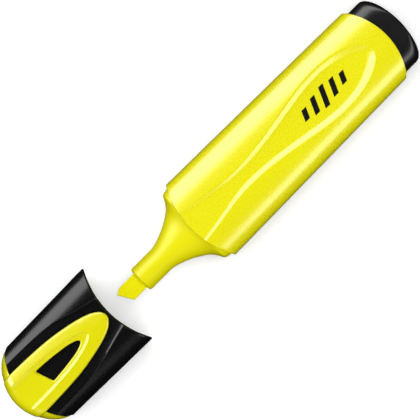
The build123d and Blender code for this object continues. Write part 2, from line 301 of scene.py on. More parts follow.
def lipped(shares, front_lip, rear_lip):
    """Stations along a tube with a rounded lip at both ends."""
    rear = [(1.0, -run, inset) for _, run, inset in reversed(lip_stations(rear_lip))]
    return lip_stations(front_lip) + [(s, 0.0, 0.0) for s in shares] + rear


# ---- Barrel -------------------------------------------------------------------------------
LEAST_LINE = 0.25
BARREL_SHARES = (0.012, 0.988, 230)


def barrel_half(x):
    """Half-width of the barrel, a little narrower at the rear."""
    return BARREL_HALF_FRONT + (BARREL_HALF_REAR - BARREL_HALF_FRONT) * x / BARREL_LENGTH


def barrel_front(y):
    """Front rim: an arc that bulges towards the nib."""
    return -RIM_BULGE + arc_offset(RIM_RADIUS, y)


def barrel_rear(y):
    """Rear rim: an arc, cut back at its corners."""
    arc = REAR_TIP - arc_offset(REAR_RADIUS, y)
    corner_x, corner_y = REAR_CORNER
    slope = (corner_x - BARREL_LENGTH) / (BARREL_HALF_REAR - corner_y)
    return np.minimum(arc, corner_x - (np.asarray(y, float) - corner_y) * slope)


def barrel_lines(x):
    """Edges of the panel's floor and slope, for the columns."""
    inner = np.maximum(outline_half(PANEL_FLOOR, x), LEAST_LINE)
    outer = np.maximum(outline_half(PANEL_OUTER, x), inner + LEAST_LINE)
    return inner, outer


def barrel_relief(x, y, side):
    """Depth of the panel below the land: its floor is flat across the pen."""
    depth = np.maximum(cubic(PANEL_DEPTH, x) - corner_drop(y, barrel_half(x), BARREL_CORNER), 0.0)
    return depth * between_outlines(PANEL_OUTER, PANEL_FLOOR, x, y)


def cavity_half(x):
    """Half-width of the barrel's hollow."""
    return barrel_half(x) - FLANK_WALL


def make_barrel():
    """Open tube with the sunk panel on both wide faces."""
    outside = tube_rings(
        lipped(np.linspace(*BARREL_SHARES), LIP, LIP), barrel_half, barrel_front, barrel_rear, barrel_relief,
        barrel_lines, BARREL_CORNER,
    )
    across, down, power = BARREL_CORNER
    inside = tube_rings(
        [(1.0, 0.0, 0.0), (0.9, 0.0, 0.0), (0.1, 0.0, 0.0), (0.0, 0.0, 0.0)],
        cavity_half, barrel_front, barrel_rear, no_relief, barrel_lines,
        (across - FLANK_WALL, down - FACE_WALL, power), HALF_DEPTH - FACE_WALL,
    )
    return skin("barrel_body", outside + inside + outside[:1], SHOULDER_X)


# ---- Rear plug ----------------------------------------------------------------------------
PLUG_HALF = 11.35
PLUG_HALF_DEPTH = 6.75
PLUG_CORNER = (6.0, 5.4, 2.4)
PLUG_FRONT = 66.0
PLUG_MIDDLE = 70.0
PLUG_DOME_START = 72.6
PLUG_END = 77.3
# The end's fullness in plan, and how its wide faces fall: near the top of the arch, then all the way.
PLUG_FULLNESS = 0.95
PLUG_TOP_START, PLUG_TOP_RUN, PLUG_TOP_FALL = 0.9, 0.1, 0.16
PLUG_END_FALL, PLUG_END_POWER = 0.84, 5


def flat_lines(x):
    """Evenly spread columns, for sections without a panel."""
    return np.full_like(x, 2.0), np.full_like(x, 3.5)


def oval_ring(x, half_width, half_depth, corner):
    """One closed ring of an oval section; x may differ from column to column."""
    row = np.broadcast_to(np.asarray(x, float), (1, len(QUARTER))).copy()
    y, z = quarter_points(row, even(half_width), half_depth, corner, flat_lines)
    return full_ring(row[0], y[0], z[0], -z[0])


def make_plug():
    """Black end plug: straight skirt, then an end arched in plan and rounded on its wide faces."""
    base = oval_ring(0.0, PLUG_HALF, PLUG_HALF_DEPTH, PLUG_CORNER)
    rings = [base + (x, 0, 0) for x in (PLUG_FRONT, PLUG_MIDDLE, PLUG_DOME_START)]
    for turn in np.linspace(0.06, math.pi / 2, 34):
        rise = PLUG_DOME_START + (PLUG_END - PLUG_DOME_START) * math.sin(turn) ** PLUG_FULLNESS
        across = max(math.cos(turn), 1e-5)
        top_fall = PLUG_TOP_FALL * ramp((math.sin(turn) - PLUG_TOP_START) / PLUG_TOP_RUN, 0.3)
        down = 1 - top_fall - PLUG_END_FALL * (1 - across**0.5) ** PLUG_END_POWER
        rings.append(base * (0, across, down) + (rise, 0, 0))
    return skin("end_plug", rings, SHOULDER_X, pole_first=True, pole_last=True, sharp=50)


# ---- Nose ---------------------------------------------------------------------------------
# Station, half-width, half-depth and squareness of the oval, from inside the barrel to the nozzle.
NOSE_STATIONS = [
    (3.0, 12.3, 6.7, 4.4), (0.0, 12.4, 6.75, 4.4), (-0.75, 12.45, 6.75, 4.4), (-1.4, 12.4, 6.75, 4.4),
    (-1.9, 12.28, 6.72, 4.3), (-2.3, 12.1, 6.68, 4.2), (-2.6, 11.83, 6.6, 4.0), (-2.85, 11.45, 6.5, 3.7),
    (-3.2, 10.75, 6.38, 3.3), (-3.7, 9.95, 6.2, 2.95), (-4.3, 9.15, 5.95, 2.7), (-5.5, 8.05, 5.5, 2.4),
    (-6.9, 7.1, 5.08, 2.2), (-8.25, 6.32, 4.76, 2.1), (-9.6, 5.65, 4.5, 2.05), (-11.0, 5.06, 4.3, 2.0),
    (-12.4, 4.55, 4.13, 2.0), (-13.7, 4.14, 4.0, 2.0), (-15.1, 3.93, 3.93, 2.0),
]
# Rings along the nose as (from, to, how many), closest together round the collar's lip.
NOSE_RINGS = [(3.0, -0.75, 5), (-0.9, -4.3, 34), (-4.5, -15.1, 52)]
NOZZLE_RADIUS = 3.91
NOZZLE_BACK = -15.5
NOZZLE_FRONT = -23.35
NOZZLE_EDGE = 0.75
BORE_HALF = (2.72, 1.87)
BORE_CORNER = 0.75
BORE_CHAMFER = 0.1
BORE_LENGTH = 4.0
NOSE_COLUMNS = 96


def super_ring(x, half_width, half_depth, power):
    """Closed superellipse ring at station x."""
    turn = 2 * math.pi * np.arange(NOSE_COLUMNS) / NOSE_COLUMNS
    c, s = np.cos(turn), np.sin(turn)
    y = half_width * np.sign(c) * np.abs(c) ** (2 / power)
    z = half_depth * np.sign(s) * np.abs(s) ** (2 / power)
    return np.stack([np.full(NOSE_COLUMNS, x), y, z], 1)


def rounded_box_ring(x, half_y, half_z, corner):
    """Closed rounded rectangle with one point in each direction of super_ring's round section."""
    turn = 2 * math.pi * np.arange(NOSE_COLUMNS) / NOSE_COLUMNS
    c, s = np.abs(np.cos(turn)), np.abs(np.sin(turn))
    reach = np.minimum(half_y / np.maximum(c, 1e-9), half_z / np.maximum(s, 1e-9))
    centre = np.stack([np.minimum(reach * c, half_y - corner), np.minimum(reach * s, half_z - corner)], 1)
    out = np.stack([reach * c, reach * s], 1) - centre
    length = np.linalg.norm(out, axis=1, keepdims=True)
    point = centre + out / np.maximum(length, 1e-9) * np.minimum(length, corner)
    y = point[:, 0] * np.sign(np.cos(turn))
    z = point[:, 1] * np.sign(np.sin(turn))
    return np.stack([np.full(NOSE_COLUMNS, x), y, z], 1)


def make_nose():
    """Oval collar that narrows to a round nozzle with a bore for the nib."""
    at, *columns = zip(*NOSE_STATIONS)
    backward = [-x for x in at]
    rings = []
    for x in np.concatenate([np.linspace(*span) for span in NOSE_RINGS]):
        half_y, half_z, power = (float(cubic(list(zip(backward, column)), -x)) for column in columns)
        rings.append(super_ring(x, half_y, half_z, power))
    for x in np.linspace(NOZZLE_BACK, NOZZLE_FRONT + NOZZLE_EDGE, 16):
        rings.append(super_ring(x, NOZZLE_RADIUS, NOZZLE_RADIUS, 2.0))
    for turn in np.linspace(0, math.pi / 2, 8)[1:]:
        radius = NOZZLE_RADIUS - NOZZLE_EDGE * (1 - math.cos(turn))
        rings.append(super_ring(NOZZLE_FRONT + NOZZLE_EDGE * (1 - math.sin(turn)), radius, radius, 2.0))
    for depth, wider in ((0.0, BORE_CHAMFER), (BORE_CHAMFER, 0.0), (BORE_LENGTH, 0.0)):
        half_y, half_z = (half + wider for half in BORE_HALF)
        rings.append(rounded_box_ring(NOZZLE_FRONT + depth, half_y, half_z, BORE_CORNER))
    return skin("nose_front", rings, SHOULDER_X, pole_first=True, pole_last=True, sharp=35)


# ---- Nib ----------------------------------------------------------------------------------
NIB_HALF = 2.65
NIB_HALF_THICK = 1.8
NIB_TIP = -30.8
NIB_TIP_Y = 1.65
NIB_SHOULDER = -28.85
NIB_HEEL = -28.3
NIB_HIDDEN_END = -20.5
NIB_EDGE = 0.32


def make_nib():
    """Felt bar cut to a slanted chisel, with soft edges."""
    outline = [
        (NIB_HIDDEN_END, -NIB_HALF), (NIB_HEEL, -NIB_HALF), (NIB_TIP, NIB_TIP_Y),
        (NIB_SHOULDER, NIB_HALF), (NIB_HIDDEN_END, NIB_HALF),
    ]
    verts = [(x, y, side * NIB_HALF_THICK) for side in (-1, 1) for x, y in outline]
    n = len(outline)
    faces = [tuple(range(n)), tuple(range(2 * n - 1, n - 1, -1))]
    faces += [(k, (k + 1) % n, n + (k + 1) % n, n + k) for k in range(n)]
    piece = finish_mesh("felt_nib", verts, faces, SHOULDER_X)
    work = bmesh.new()
    work.from_mesh(piece.data)
    bmesh.ops.bevel(
        work, geom=work.edges[:], offset=NIB_EDGE * MM, offset_type="OFFSET", segments=4, profile=0.6,
        affect="EDGES",
    )
    bmesh.ops.recalc_face_normals(work, faces=work.faces)
    work.to_mesh(piece.data)
    work.free()
    piece.data.shade_smooth()
    piece.data.set_sharp_from_angle(angle=math.radians(40))
    return piece


# ---- Cap shell ----------------------------------------------------------------------------
CAP_HALF_MOUTH = 13.6
CAP_HALF_END = 13.05
CAP_SIDE_END = -30.2
MOUTH_GAP = 0.1
MOUTH_LIP = 0.34
END_LIP = 0.12
SHELL_END_TIP = -36.2
SHELL_END_CORNER = (-31.8, 12.1)
SHELL_END_RISE = 4.4
SHELL_END_RADIUS = (SHELL_END_CORNER[1] ** 2 + SHELL_END_RISE**2) / (2 * SHELL_END_RISE)
SHELL_SHARES = [(0.012, 0.16, 58), (0.165, 0.994, 120)]
MOUTH_CAVITY = (12.6, 7.3)
MOUTH_CAVITY_END = -3.9
BODY_CAVITY = (11.4, 6.2)
# The recess in the wide face: half-width of its outer edge, width and depth of the step down there, and
# width and depth of the shallow facet beside the step.
CREASE_OUTER = [(-40.0, 9.6), (-25.5, 9.55), (-17.0, 8.85), (-10.4, 7.3), (-5.0, 5.85), (0.0, 4.9)]
CREASE_WIDTH = [(-40.0, 0.12), (-16.0, 0.14), (-11.5, 0.26), (0.0, 0.26)]
CREASE_DEPTH = [(-40.0, 0.8), (-20.0, 0.7), (-12.0, 0.33), (-8.0, 0.2), (0.0, 0.18)]
FACET_WIDTH = [(-40.0, 0.4), (-17.0, 0.5), (-9.0, 1.1), (0.0, 1.2)]
FACET_DEPTH = [(-40.0, 0.0), (-17.0, 0.02), (-9.0, 0.13), (0.0, 0.15)]
CLIP_TIP = -4.3
CLIP_SIDES = [
    (-40.0, 7.06), (-33.0, 7.05), (-27.0, 6.87), (-20.0, 6.35), (-14.5, 5.45), (-9.0, 4.05), (-6.2, 2.75),
    (-4.3, 0.0), (-2.5, -2.7),
]
CLIP_MARGIN = 0.3
POCKET_DEPTH = 1.0
POCKET_WALL = 0.02
LEAST_POCKET = 0.4
LEAST_RECESS = 0.3
LEAST_STEP = 0.06


def cap_half(x):
    """Half-width of the cap, a little narrower at its closed end."""
    return CAP_HALF_MOUTH + (CAP_HALF_END - CAP_HALF_MOUTH) * x / CAP_SIDE_END


def cap_mouth(y):
    """The cap's mouth: the barrel's front rim with a gap."""
    return -RIM_BULGE - MOUTH_GAP + arc_offset(RIM_RADIUS, y)


def shell_end(y):
    """The shell's edge against the crown: an arc, cut forward at its corners."""
    corner_x, corner_y = SHELL_END_CORNER
    arc = SHELL_END_TIP + arc_offset(SHELL_END_RADIUS, np.minimum(np.abs(y), corner_y))
    slope = (CAP_SIDE_END - corner_x) / (CAP_HALF_END - corner_y)
    return arc + np.maximum(np.abs(y) - corner_y, 0) * slope


def pocket_half(x):
    """Half-width of the pocket that the clip lies in."""
    return np.maximum(outline_half(CLIP_SIDES, x - CLIP_MARGIN) + CLIP_MARGIN * (x < CLIP_TIP), 0.0)


def shell_lines(x):
    """Edges of the clip's pocket and of the recess, for the columns."""
    pocket = np.maximum(pocket_half(x), LEAST_POCKET)
    outer = np.maximum(cubic(CREASE_OUTER, x), pocket + LEAST_RECESS)
    return pocket + POCKET_WALL, outer


# Columns of the shell's quarter section: the pocket, the facet, the step, the flank's land, the corner.
SHELL_QUARTER = (
    [("floor", k / 7) for k in range(8)]
    + [("slope", 0.01)]
    + [("facet", k / 8) for k in range(1, 9)]
    + [("step", k / 6) for k in range(1, 7)]
    + [("land", k / 18) for k in range(1, 19)]
    + [("corner", k / 12) for k in range(1, 13)]
    + [("flank", k / 2) for k in range(1, 3)]
)


def shell_relief(x, y, side):
    """Depth of the recess beside the clip: a steep step, then a shallow facet towards the mouth."""
    run = cubic(CREASE_OUTER, x) - y
    floor = np.maximum(cubic(CREASE_DEPTH, x) - corner_drop(y, cap_half(x), CAP_CORNER), LEAST_STEP)
    step = cubic(CREASE_WIDTH, x)
    depth = floor * ramp(run / step)
    depth = depth + cubic(FACET_DEPTH, x) * ramp((run - step) / cubic(FACET_WIDTH, x), 0.05)
    if side < 0:
        return depth
    inside = (y <= pocket_half(x) + POCKET_WALL + 0.001) & (x < CLIP_TIP + CLIP_MARGIN)
    return np.where(inside, POCKET_DEPTH - corner_drop(y, cap_half(x), CAP_CORNER), depth)


def cavity_step(y):
    """The step between the mouth's cavity and the narrower one behind it."""
    return np.full_like(np.asarray(y, float), MOUTH_CAVITY_END)


def make_shell():
    """Open tube with a recess on both wide faces, the clip's pocket on the upper one and a stepped hollow."""
    shares = np.concatenate([np.linspace(*span) for span in SHELL_SHARES])
    outside = tube_rings(
        lipped(shares, MOUTH_LIP, END_LIP), cap_half, cap_mouth, shell_end, shell_relief, shell_lines,
        CAP_CORNER, columns=SHELL_QUARTER,
    )
    inside = []
    for front, rear, stations, (half_y, half_z) in (
        (cavity_step, shell_end, [(1.0, 0.0, 0.0), (0.5, 0.0, 0.0), (0.0, 0.0, 0.0)], BODY_CAVITY),
        (
            cap_mouth, cavity_step, [(1.0, 0.0, 0.0), (0.5, 0.0, 0.0), (0.0, 0.1, 0.0), (0.0, 0.0, -0.08)],
            MOUTH_CAVITY,
        ),
    ):
        inside += tube_rings(
            stations, even(half_y), front, rear, no_relief, flat_lines, CAVITY_CORNER, depth=half_z,
            columns=SHELL_QUARTER,
        )
    return skin("cap_shell_body", outside + inside + outside[:1], CAP_X, sharp=32)


# ---- Crown --------------------------------------------------------------------------------
CROWN_CENTRE = -28.5
CROWN_LONG = 10.3
CROWN_HALF = 13.0
CROWN_SQUARE = 0.27
SPIGOT_END = -30.0
SPIGOT_CLEARANCE = 0.05
BORE_RADIUS = 5.02
BORE_END = -34.52
STEEPEST = 1.4
SHELL_EDGE_TURN = 0.012
# Shares of the edge's width and depth of the two rings that close the dome behind the shell's edge.
HIDDEN_RINGS = [(0.88, 0.8), (0.985, 0.985)]


def crown_ring(turn, section):
    """Points of the dome at latitude turn (one value per column) over a unit section."""
    y = section[0] * np.cos(turn)
    z = section[1] * np.cos(turn) ** CROWN_SQUARE
    return CROWN_CENTRE - CROWN_LONG * np.sin(turn), y, z


def make_crown():
    """Rounded end of the cap, with a spigot inside the shell, bored for the inner cap."""
    flat = np.zeros((1, len(QUARTER)))
    y, z = quarter_points(flat, even(CROWN_HALF), HALF_DEPTH, CAP_CORNER, flat_lines)
    section = (y[0], z[0])
    # Each column's latitude where the dome meets the shell's edge, by halving.
    low, high = np.zeros(len(QUARTER)), np.full(len(QUARTER), STEEPEST)
    for _ in range(40):
        middle = (low + high) / 2
        x, y, _ = crown_ring(middle, section)
        short = x > shell_end(y)
        low, high = np.where(short, middle, low), np.where(short, high, middle)
    spigot = oval_ring(SPIGOT_END, *(half - SPIGOT_CLEARANCE for half in BODY_CAVITY), CAVITY_CORNER)
    outward = spigot[:, 1:] / np.linalg.norm(spigot[:, 1:], axis=1, keepdims=True)
    bore = outward * BORE_RADIUS
    rings = [np.column_stack([np.full(len(bore), at), bore]) for at in (BORE_END, SPIGOT_END)] + [spigot]
    x, y, z = crown_ring(low, section)
    for wide, deep in HIDDEN_RINGS:
        rings.append(full_ring(x, y * wide, z * deep, -z * deep))
    first = low + SHELL_EDGE_TURN
    for share in np.linspace(0, 1, 44) ** 0.8:
        turn = np.minimum(first + (math.pi / 2 - first) * share, math.pi / 2 - 1e-4)
        x, y, z = crown_ring(turn, section)
        rings.append(full_ring(x, y, z, -z))
    return skin("crown_dome", rings, CAP_X, pole_first=True, pole_last=True, sharp=40)


# ---- Clip and the band that carries it over the crown --------------------------------------
CLIP_REAR = -34.0
CLIP_UNDER = 7.55
RIDGE = 8.92
CLIP_EDGE = 8.54
TROUGH = 0.4
TROUGH_SLOPE = 0.66
EDGE_ROUND = 0.72
WINDOW_ROUND = 0.4
WINDOW_TIP = -14.5
WINDOW_SIDES = [
    (-45.0, 2.85), (-28.2, 2.68), (-22.7, 2.24), (-20.0, 1.9), (-17.3, 1.45), (-15.87, 1.0), (-15.0, 0.6),
    (-14.5, 0.0), (-13.5, -0.84),
]
WINDOW_BASE_X = -28.17
WINDOW_BASE_SLOPE = -0.337
WINDOW_CORNER = 0.55
CREASE = [
    (-45.0, 4.2), (-28.0, 4.12), (-22.7, 3.75), (-20.0, 3.42), (-17.3, 2.93), (-14.5, 2.15), (-12.6, 1.35),
    (-11.4, 0.0), (-9.0, -1.9),
]
CROWN_PLAN_RADIUS = 13.7
BAND_MIDDLE = 8.65
BAND_TURN = 3.0
BAND_LOW = -7.62
BAND_THICK = 1.7
BAND_OVERLAP = 0.06
# Stations along one half of the clip: on its centre seam, the window's side, corner and base, and behind.
SEAM_START = -9.2
SEAM_COUNT = 34
SIDE_COUNT = 76
CORNER_COUNT = 12
BASE_COUNT = 14
BACK_COUNT = 26
# Stations on its outer edge beside them: past the tip, and in the fan behind the window's corner.
PAST_TIP = 0.4
FAN_LENGTH = 1.6
CLIP_INNER_COLUMNS = 12
CLIP_OUTER_COLUMNS = 16
ROUND_COLUMNS = 5


def window_line(side):
    """Stations along the window's edge on one side, from its tip to the middle of its base."""
    # The corner lies where the side meets the slanted base.
    corner = WINDOW_BASE_X
    for _ in range(20):
        corner = WINDOW_BASE_X + WINDOW_BASE_SLOPE * side * float(outline_half(WINDOW_SIDES, corner))
    run = np.linspace(0, 1, SIDE_COUNT) ** 1.9
    x = WINDOW_TIP + (corner + WINDOW_CORNER - WINDOW_TIP) * run
    points = [(at, side * float(outline_half(WINDOW_SIDES, at))) for at in x]
    last = np.array(points[-1])
    knee = np.array((corner, side * float(outline_half(WINDOW_SIDES, corner))))
    middle = np.array((WINDOW_BASE_X, 0.0))
    leave = knee + (middle - knee) * WINDOW_CORNER / np.linalg.norm(middle - knee)
    for t in np.linspace(0, 1, CORNER_COUNT)[1:]:
        points.append(tuple((1 - t) ** 2 * last + 2 * t * (1 - t) * knee + t**2 * leave))
    for t in np.linspace(0, 1, BASE_COUNT)[1:]:
        points.append(tuple(leave + (middle - leave) * t))
    return np.array(points)


def line_normals(points, side):
    """Unit normals on the left of a polyline for side 1 and on its right for side -1."""
    step = np.gradient(points, axis=0)
    step /= np.linalg.norm(step, axis=1, keepdims=True)
    return np.stack([step[:, 1], -step[:, 0]], 1) * side


def clip_height(x, y, outer_share):
    """Top of the clip: a ridge along the crease, falling to the outer edge and down to an inner shelf."""
    ridge = np.maximum(outline_half(CREASE, x), 1e-3)
    width = np.minimum(ridge, TROUGH_SLOPE)
    inside = RIDGE - TROUGH * width / TROUGH_SLOPE * ramp((ridge - np.abs(y)) / width, 0.15)
    power = 2.0 - 0.85 * ramp(ridge / 1.5)
    outside = RIDGE - (RIDGE - CLIP_EDGE) * outer_share**power
    return np.where(outer_share > 0, outside, inside)


def inner_line(window, side):
    """Inner line of one half: points, normals and the width of the rounded edge at every station."""
    seam_x = np.linspace(SEAM_START, WINDOW_TIP + WINDOW_ROUND, SEAM_COUNT)
    seam = np.stack([seam_x, np.zeros(SEAM_COUNT)], 1)
    base = np.array((-1, WINDOW_BASE_SLOPE)) / math.hypot(1, WINDOW_BASE_SLOPE)
    start = window[-1] + base * WINDOW_ROUND
    back_x = np.linspace(start[0], CLIP_REAR, BACK_COUNT)
    back = np.stack([back_x, start[1] * np.linspace(1, 0, BACK_COUNT) ** 2], 1)
    normal = line_normals(window, side)
    normal[0] = (1, 0)
    normal[-1] = base
    normal = np.concatenate([np.zeros((SEAM_COUNT, 2)), normal, np.zeros((BACK_COUNT, 2))])
    rounding = np.zeros(len(normal))
    rounding[SEAM_COUNT : SEAM_COUNT + len(window)] = WINDOW_ROUND
    return np.concatenate([seam, window, back]), normal, rounding


def outer_line(window, side):
    """Outer line of one half, with as many stations as the inner one: points and normals."""
    corner = SIDE_COUNT + CORNER_COUNT // 2
    knee = window[corner][0]
    front_end = WINDOW_TIP - PAST_TIP
    front = CLIP_TIP + (front_end - CLIP_TIP) * np.linspace(0, 1, SEAM_COUNT) ** 2
    beside = front[-1] + (knee - front[-1]) * (np.arange(1, corner + 1) / corner) ** 1.3
    fan = np.linspace(knee, knee - FAN_LENGTH, len(window) - corner + 1)[1:]
    rear = np.linspace(knee - FAN_LENGTH, CLIP_REAR, BACK_COUNT + 1)[1:]
    x = np.concatenate([front, beside, fan, rear])
    points = np.stack([x, side * outline_half(CLIP_SIDES, x)], 1)
    normal = line_normals(points, side)
    normal[0] = (1, 0)
    return points, normal


def clip_top(window, side):
    """Grid of points on the clip's top, station by station, from the window's wall to the outer edge."""
    inner, inner_normal, rounding = inner_line(window, side)
    outer, outer_normal = outer_line(window, side)
    near = inner + inner_normal * rounding[:, None]
    far = outer - outer_normal * EDGE_ROUND
    flat = np.zeros(len(near))
    # The share of the way across at which every station meets the ridge, by halving.
    low, high = flat, np.ones(len(near))
    for _ in range(30):
        share = (low + high) / 2
        at = near + (far - near) * share[:, None]
        under = np.abs(at[:, 1]) < outline_half(CREASE, at[:, 0])
        low, high = np.where(under, share, low), np.where(under, high, share)
    columns = []
    for k in range(ROUND_COLUMNS):
        turn = math.pi / 2 * k / ROUND_COLUMNS
        at = inner + inner_normal * (rounding * (1 - math.cos(turn)))[:, None]
        edge = clip_height(near[:, 0], near[:, 1], flat)
        columns.append(np.column_stack([at, edge - rounding * (1 - math.sin(turn))]))
    for k in range(CLIP_INNER_COLUMNS):
        at = near + (far - near) * (low * k / CLIP_INNER_COLUMNS)[:, None]
        columns.append(np.column_stack([at, clip_height(at[:, 0], at[:, 1], flat)]))
    for k in range(CLIP_OUTER_COLUMNS + 1):
        part = k / CLIP_OUTER_COLUMNS
        at = near + (far - near) * (low + (1 - low) * part)[:, None]
        columns.append(np.column_stack([at, clip_height(at[:, 0], at[:, 1], np.full(len(near), part))]))
    for k in range(1, ROUND_COLUMNS + 1):
        turn = math.pi / 2 * k / ROUND_COLUMNS
        at = far + outer_normal * (EDGE_ROUND * math.sin(turn))
        height = CLIP_EDGE - EDGE_ROUND * (1 - math.cos(turn))
        columns.append(np.column_stack([at, np.full(len(near), height)]))
    return np.stack(columns, 1)


# The band's way over the crown: zones with how many stations each has.
BAND_ZONES = [("top", 8), ("turn", 14), ("down", 6), ("under", 10)]
# Over how many of its stations the band grows to its full thickness.
BAND_THICKENING = 10


def band_grids(row):
    """Top and underside points of the band, which goes on from the clip's last row of points."""
    y = row[:, 1]
    end_x = CROWN_END + arc_offset(CROWN_PLAN_RADIUS, y) + BAND_TURN
    edge_drop = np.zeros(len(row))
    edge_drop[-ROUND_COLUMNS:] = row[-ROUND_COLUMNS:, 2] - CLIP_EDGE
    relief = row[:, 2] - edge_drop - BAND_MIDDLE
    stop = np.arcsin(np.clip((end_x - shell_end(y) + BAND_OVERLAP) / BAND_TURN, 0, 1))
    path = [(zone, t) for zone, steps in BAND_ZONES for t in np.linspace(0, 1, steps + 1)[1:]]
    flat, unit = np.zeros_like(y), np.ones_like(y)
    tops, unders = [], []
    for count, (zone, t) in enumerate(path):
        thin = BAND_MIDDLE - CLIP_UNDER
        thick = thin + (BAND_THICK - thin) * min(1, count / BAND_THICKENING)
        fade = {"top": 1.0, "turn": 1 - ramp((t - 0.1) / 0.6, 0.3)}.get(zone, 0.0)
        rise = relief * fade + edge_drop
        if zone == "top":
            x, z, nx, nz = CLIP_REAR + (end_x - CLIP_REAR) * t, unit * BAND_MIDDLE, flat, unit
        elif zone == "turn":
            a = math.pi / 2 * t
            x, z = end_x - BAND_TURN * math.sin(a), unit * (BAND_MIDDLE - BAND_TURN * (1 - math.cos(a)))
            nx, nz = unit * -math.sin(a), unit * math.cos(a)
        elif zone == "down":
            x, nx, nz = end_x - BAND_TURN, -unit, flat
            z = unit * (BAND_MIDDLE - BAND_TURN + (BAND_LOW - BAND_MIDDLE + 2 * BAND_TURN) * t)
        else:
            a = math.pi / 2 - (math.pi / 2 - stop) * t
            x, z = end_x - BAND_TURN * np.sin(a), BAND_LOW + BAND_TURN * (1 - np.cos(a))
            nx, nz = -np.sin(a), -np.cos(a)
        tops.append(np.column_stack([x + nx * rise, y, z + nz * rise]))
        unders.append(np.column_stack([x - nx * thick, y, z - nz * thick]))
    return tops, unders


def make_clip():
    """Spring clip with its window, in one piece with the band that carries it over the crown."""
    verts, faces = [], []
    for side in (1, -1):
        window = window_line(side)
        top = clip_top(window, side)
        under = top.copy()
        under[:, :, 2] = CLIP_UNDER
        band_top, band_under = band_grids(top[-1])
        top, under = np.concatenate([top, band_top]), np.concatenate([under, band_under])
        rows, columns = top.shape[:2]
        base_top = len(verts)
        verts += [tuple(p) for p in top.reshape(-1, 3)]
        base_under = len(verts)
        verts += [tuple(p) for p in under.reshape(-1, 3)]

        def quad(base, i, j):
            k = base + i * columns + j
            return (k, k + 1, k + columns + 1, k + columns)

        def wall(a, b):
            return (base_top + a, base_top + b, base_under + b, base_under + a)

        for i in range(rows - 1):
            in_window = SEAM_COUNT <= i < SEAM_COUNT + len(window) - 1
            first = 0 if in_window else ROUND_COLUMNS
            for j in range(first, columns - 1):
                faces.append(quad(base_top, i, j))
                faces.append(quad(base_under, i, j)[::-1])
            edge = i * columns + columns - 1
            beyond = edge + columns
            faces.append((base_top + edge, base_under + edge, base_under + beyond, base_top + beyond))
            if in_window:
                faces.append(wall(i * columns, (i + 1) * columns))
        last = (rows - 1) * columns
        faces += [wall(last + j, last + j + 1) for j in range(ROUND_COLUMNS, columns - 1)]
    return finish_mesh("spring_clip", verts, faces, CAP_X, sharp=50, merge=2e-3)


# ---- Generic mark on the barrel ------------------------------------------------------------
MARK_PLACES = [40.9, 44.5, 48.1, 51.7, 55.3]
MARK_HALVES = [1.5, 2.2, 2.8, 2.2, 1.5]
MARK_BAR = 1.7
MARK_SLANT = 0.45
MARK_LIFT = 0.025
MARK_STEPS = 9


def make_mark():
    """Five slanted printed bars on the floor of the barrel's panel."""
    verts, faces = [], []
    for x, half in zip(MARK_PLACES, MARK_HALVES):
        start = len(verts)
        for y in np.linspace(-half, half, MARK_STEPS):
            for edge in (-MARK_BAR / 2, MARK_BAR / 2):
                at = x + edge + MARK_SLANT * y
                floor = HALF_DEPTH - float(cubic(PANEL_DEPTH, at))
                verts.append((at, y, floor + MARK_LIFT))
        for k in range(MARK_STEPS - 1):
            faces.append((start + 2 * k, start + 2 * k + 1, start + 2 * k + 3, start + 2 * k + 2))
    return finish_mesh("printed_mark", verts, faces, SHOULDER_X)


# ---- Materials ----------------------------------------------------------------------------
# Noise scales are per metre, on each piece's own coordinates.
CLOUD_SCALE = 60.0
CLOUD_STRETCH = (0.5, 1, 1)
FIBRE_SCALE = 6.0
GRAIN_HEIGHT = 0.0001
FIBRE_HEIGHT = 0.0002
COAT_ROUGHNESS = 0.24


def link(material, source, output, target, socket):
    """Join a node's output to another node's socket."""
    material.node_tree.links.new(source.outputs[output], target.inputs[socket])


def add(material, kind, **sockets):
    """A new node with constants set on its sockets; an underscore in a name stands for a space."""
    node = material.node_tree.nodes.new(kind)
    for socket, value in sockets.items():
        node.inputs[socket.replace("_", " ")].default_value = value
    return node


def start_material(name):
    """An empty node material and its texture coordinates."""
    material = bpy.data.materials.new(name)
    material.use_nodes = True
    material.node_tree.nodes.clear()
    return material, add(material, "ShaderNodeTexCoord")


def noise(material, coordinates, scale, detail, stretch=(1, 1, 1)):
    """Noise on the piece's own coordinates."""
    place = add(material, "ShaderNodeMapping", Scale=stretch)
    link(material, coordinates, "Object", place, "Vector")
    texture = add(material, "ShaderNodeTexNoise", Scale=scale, Detail=detail)
    link(material, place, "Vector", texture, "Vector")
    return texture


def blend_colours(material, factor, low, high):
    """A colour ramp between two stops, each a position and a colour, driven by a noise."""
    node = add(material, "ShaderNodeValToRGB")
    for element, (position, colour) in zip(node.color_ramp.elements, (low, high)):
        element.position, element.color = position, (*colour, 1)
    link(material, factor, "Fac", node, "Fac")
    return node


def finish_material(material, surface, colour, height, bump, distance):
    """Give the surface its colour and a bump from the height's noise, and put it out."""
    relief = add(material, "ShaderNodeBump", Strength=bump, Distance=distance)
    link(material, height, "Fac", relief, "Height")
    link(material, colour, "Color", surface, "Base Color")
    link(material, relief, "Normal", surface, "Normal")
    link(material, surface, "BSDF", add(material, "ShaderNodeOutputMaterial"), "Surface")
    return material


